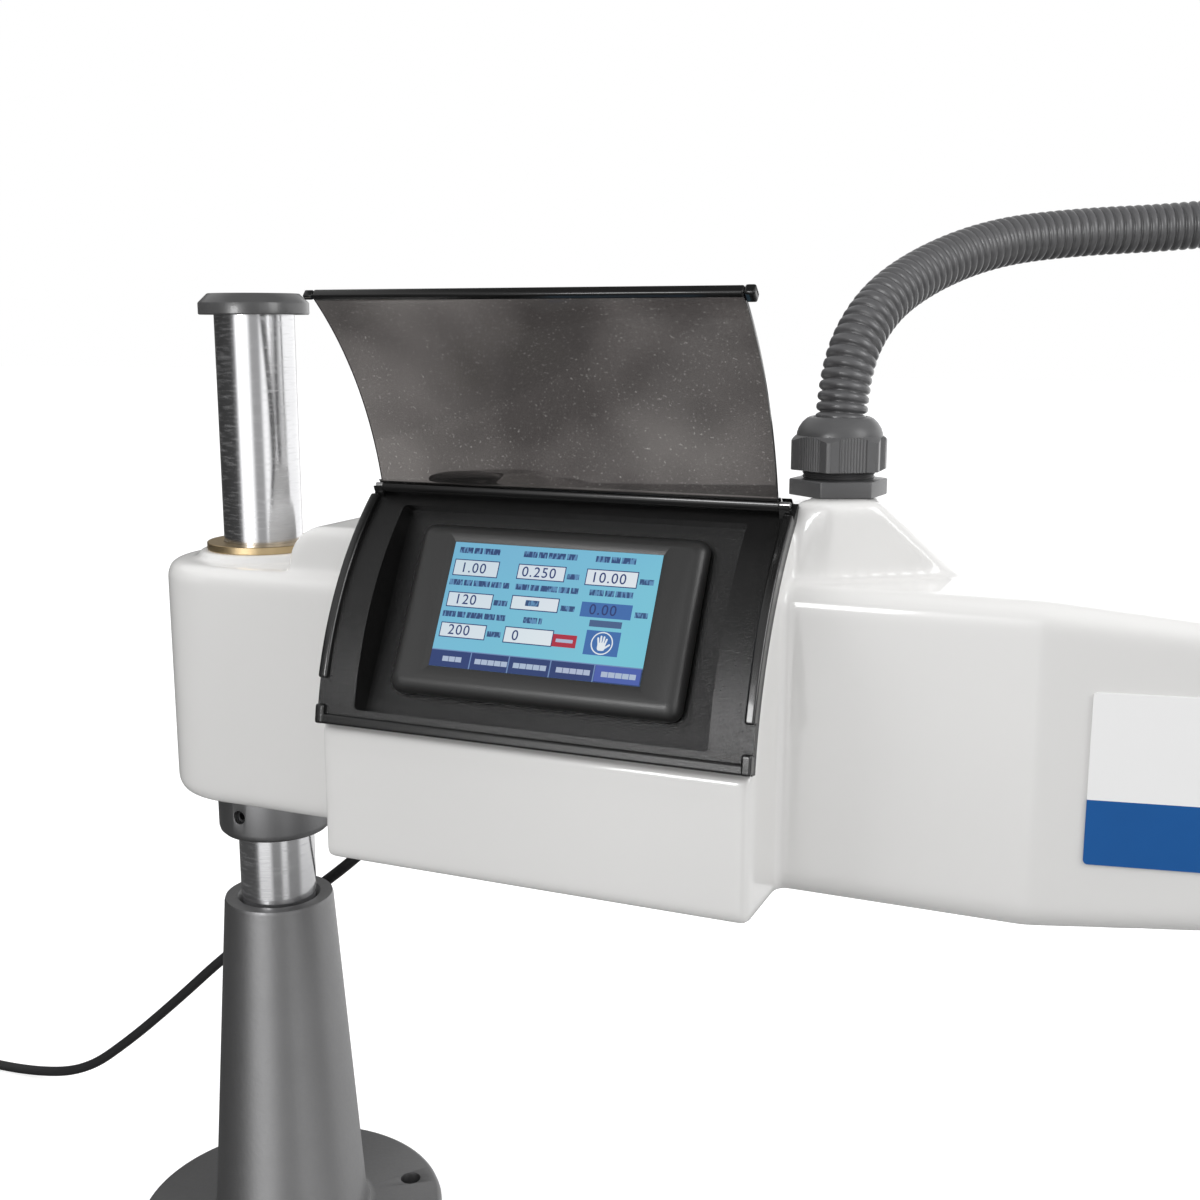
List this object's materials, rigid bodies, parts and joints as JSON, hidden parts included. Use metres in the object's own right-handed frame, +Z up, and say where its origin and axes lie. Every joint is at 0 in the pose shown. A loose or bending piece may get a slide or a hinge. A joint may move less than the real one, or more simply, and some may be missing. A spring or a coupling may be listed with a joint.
{
  "type": "arm tapping machine",
  "caption": "Bench pillar with a cast swinging arm that houses a tilted touch-screen control under a hinged smoked lid, an elbow, a parallelogram arm and a tilting servo tapping head.",
  "frame": {"origin": "on the pillar's axis at the underside of the foot, where the foot stands on the bench", "axes": "+Z up along the pillar, +X along the first arm from pillar to elbow, -Y towards the operator's panel"},
  "size_m": [1.5814, 0.6687, 0.6503],
  "materials": {
    "arm_paint": "gloss",
    "foot_paint": "satin",
    "pillar_steel": "satin",
    "collar_steel": "matte",
    "cap_black": "satin",
    "screw_black": "satin",
    "bush_brass": "satin",
    "panel_black": "gloss",
    "frame_grey": "matte",
    "screen_glass": "gloss",
    "lid_smoke": "gloss",
    "lid_trim": "gloss",
    "button_black": "satin",
    "switch_plastic": "matte",
    "gland_grey": "satin",
    "conduit_grey": "satin",
    "device_case": "matte",
    "plate_blue": "satin",
    "cover_paint": "satin",
    "screw_steel": "satin",
    "lead_rubber": "matte",
    "pin_steel": "polished",
    "bearing_steel": "satin",
    "spring_black": "gloss",
    "motor_black": "satin",
    "grip_rubber": "matte",
    "start_green": "gloss",
    "stop_yellow": "satin",
    "stop_red": "gloss",
    "chuck_steel": "satin",
    "sleeve_black": "satin"
  },
  "bodies": {
    "base": {"base_casting": "foot_paint", "base_grub_screw": "screw_black", "column": "pillar_steel", "column_cap": "cap_black", "lead_coil": "lead_rubber", "plug": "lead_rubber"},
    "collar": {"height_collar": "collar_steel", "collar_grub_screw": "screw_black"},
    "arm": {"main_arm_casting": "arm_paint", "upper_bush": "bush_brass", "lower_bush": "bush_brass", "control_bezel": "panel_black", "display_frame": "frame_grey", "touch_screen": "screen_glass", "lid_hinge_pin": "pin_steel", "mains_switch": "switch_plastic", "conduit_gland_body": "gland_grey", "conduit_gland_nut": "gland_grey", "conduit": "conduit_grey", "lead_gland": "gland_grey", "lead_tube": "lead_rubber", "servo_driver": "device_case", "power_supply": "device_case", "name_plate": "plate_blue", "rear_cover": "cover_paint", "rear_cover_screws": "screw_steel", "elbow_bearings": "bearing_steel"},
    "lid": {"lid_panel": "lid_smoke", "lid_strip": "lid_trim"},
    "button": {"mains_button": "button_black"},
    "yoke": {"elbow_yoke": "arm_paint", "elbow_pin": "pin_steel", "yoke_gland_body": "gland_grey", "yoke_gland_nut": "gland_grey", "link_pins_inner": "pin_steel", "spring_pin_lower": "pin_steel"},
    "upper_link": {"upper_link_left": "arm_paint", "upper_link_right": "arm_paint", "spring_pin_upper": "pin_steel"},
    "lower_link": {"lower_link_left": "arm_paint", "lower_link_right": "arm_paint"},
    "spring_tube": {"gas_spring_cylinder": "spring_black"},
    "spring_rod": {"gas_spring_rod": "pin_steel"},
    "bracket": {"head_bracket": "arm_paint", "link_pins_outer": "pin_steel"},
    "head": {"gearbox_housing": "arm_paint", "servo_motor": "motor_black", "servo_encoder": "motor_black", "handle_bar_left": "pin_steel", "handle_bar_right": "pin_steel", "grip_left": "grip_rubber", "grip_right": "grip_rubber", "emergency_stop_base": "stop_yellow"},
    "spindle": {"spindle": "bearing_steel", "chuck_body": "chuck_steel"},
    "sleeve": {"chuck_sleeve": "sleeve_black"},
    "start_left": {"start_button_left": "start_green"},
    "start_right": {"start_button_right": "start_green"},
    "stop_button": {"emergency_stop_head": "stop_red"}
  },
  "joints": [
    {"name": "height_slide", "type": "slide", "parent": "base", "child": "collar", "axis": [0, 0, 1], "range_m": [-0.042, 0.129], "deforming": ["lead_tube"]},
    {"name": "arm_swing", "type": "hinge", "parent": "collar", "child": "arm", "pos_m": [0, 0, 0.30265], "axis": [0, 0, 1], "range_deg": [-170, 170], "deforming": ["lead_tube"]},
    {"name": "lid_hinge", "type": "hinge", "parent": "arm", "child": "lid", "pos_m": [0.2163, -0.04037, 0.48976], "axis": [1, 0, 0], "range_deg": [-30, 117]},
    {"name": "mains_press", "type": "slide", "parent": "arm", "child": "button", "axis": [0, 0, -1], "range_m": [0, 0.003], "stiffness_N_per_m": 300, "springref_m": -0.004},
    {"name": "elbow_swing", "type": "hinge", "parent": "arm", "child": "yoke", "pos_m": [0.57, 0, 0.3767], "axis": [0, 0, 1], "range_deg": [-125, 25], "deforming": ["conduit"]},
    {"name": "arm_lift", "type": "hinge", "parent": "yoke", "child": "upper_link", "pos_m": [0.62785, 0.06894, 0.4653], "axis": [0.766, -0.6428, 0], "range_deg": [-30, 30]},
    {"name": "lower_link_lift", "type": "hinge", "parent": "yoke", "child": "lower_link", "pos_m": [0.62785, 0.06894, 0.3953], "axis": [0.766, -0.6428, 0], "range_deg": [-30, 30]},
    {"name": "spring_tube_turn", "type": "hinge", "parent": "yoke", "child": "spring_tube", "pos_m": [0.61721, 0.05626, 0.27602], "axis": [0.766, -0.6428, 0], "range_deg": [-15, 15]},
    {"name": "spring_rod_turn", "type": "hinge", "parent": "upper_link", "child": "spring_rod", "pos_m": [0.74998, 0.21449, 0.4653], "axis": [0.766, -0.6428, 0], "range_deg": [-15, 15]},
    {"name": "bracket_level", "type": "hinge", "parent": "upper_link", "child": "bracket", "pos_m": [0.89782, 0.39068, 0.4653], "axis": [0.766, -0.6428, 0], "range_deg": [-30, 30]},
    {"name": "head_tilt", "type": "hinge", "parent": "bracket", "child": "head", "pos_m": [0.91977, 0.41684, 0.4303], "axis": [0.6428, 0.766, 0], "range_deg": [0, 90]},
    {"name": "spindle_turn", "type": "hinge", "parent": "head", "child": "spindle", "pos_m": [0.95458, 0.45832, 0.3353], "axis": [0, 0, -1], "continuous": true},
    {"name": "sleeve_slide", "type": "slide", "parent": "spindle", "child": "sleeve", "axis": [0, 0, 1], "range_m": [0, 0.008], "stiffness_N_per_m": 600, "springref_m": -0.005},
    {"name": "start_left_press", "type": "slide", "parent": "head", "child": "start_left", "axis": [0.766, -0.6428, 0], "range_m": [0, 0.003], "stiffness_N_per_m": 300, "springref_m": -0.004},
    {"name": "start_right_press", "type": "slide", "parent": "head", "child": "start_right", "axis": [-0.766, 0.6428, 0], "range_m": [0, 0.003], "stiffness_N_per_m": 300, "springref_m": -0.004},
    {"name": "stop_press", "type": "slide", "parent": "head", "child": "stop_button", "axis": [-0.6428, -0.766, 0], "range_m": [0, 0.003], "stiffness_N_per_m": 900, "springref_m": -0.004}
  ],
  "couplings": [
    {"joint": "lower_link_lift", "follows": "arm_lift", "ratio": 1},
    {"joint": "spring_tube_turn", "follows": "arm_lift", "ratio": 0.5},
    {"joint": "spring_rod_turn", "follows": "arm_lift", "ratio": -0.5},
    {"joint": "bracket_level", "follows": "arm_lift", "ratio": -1}
  ]
}
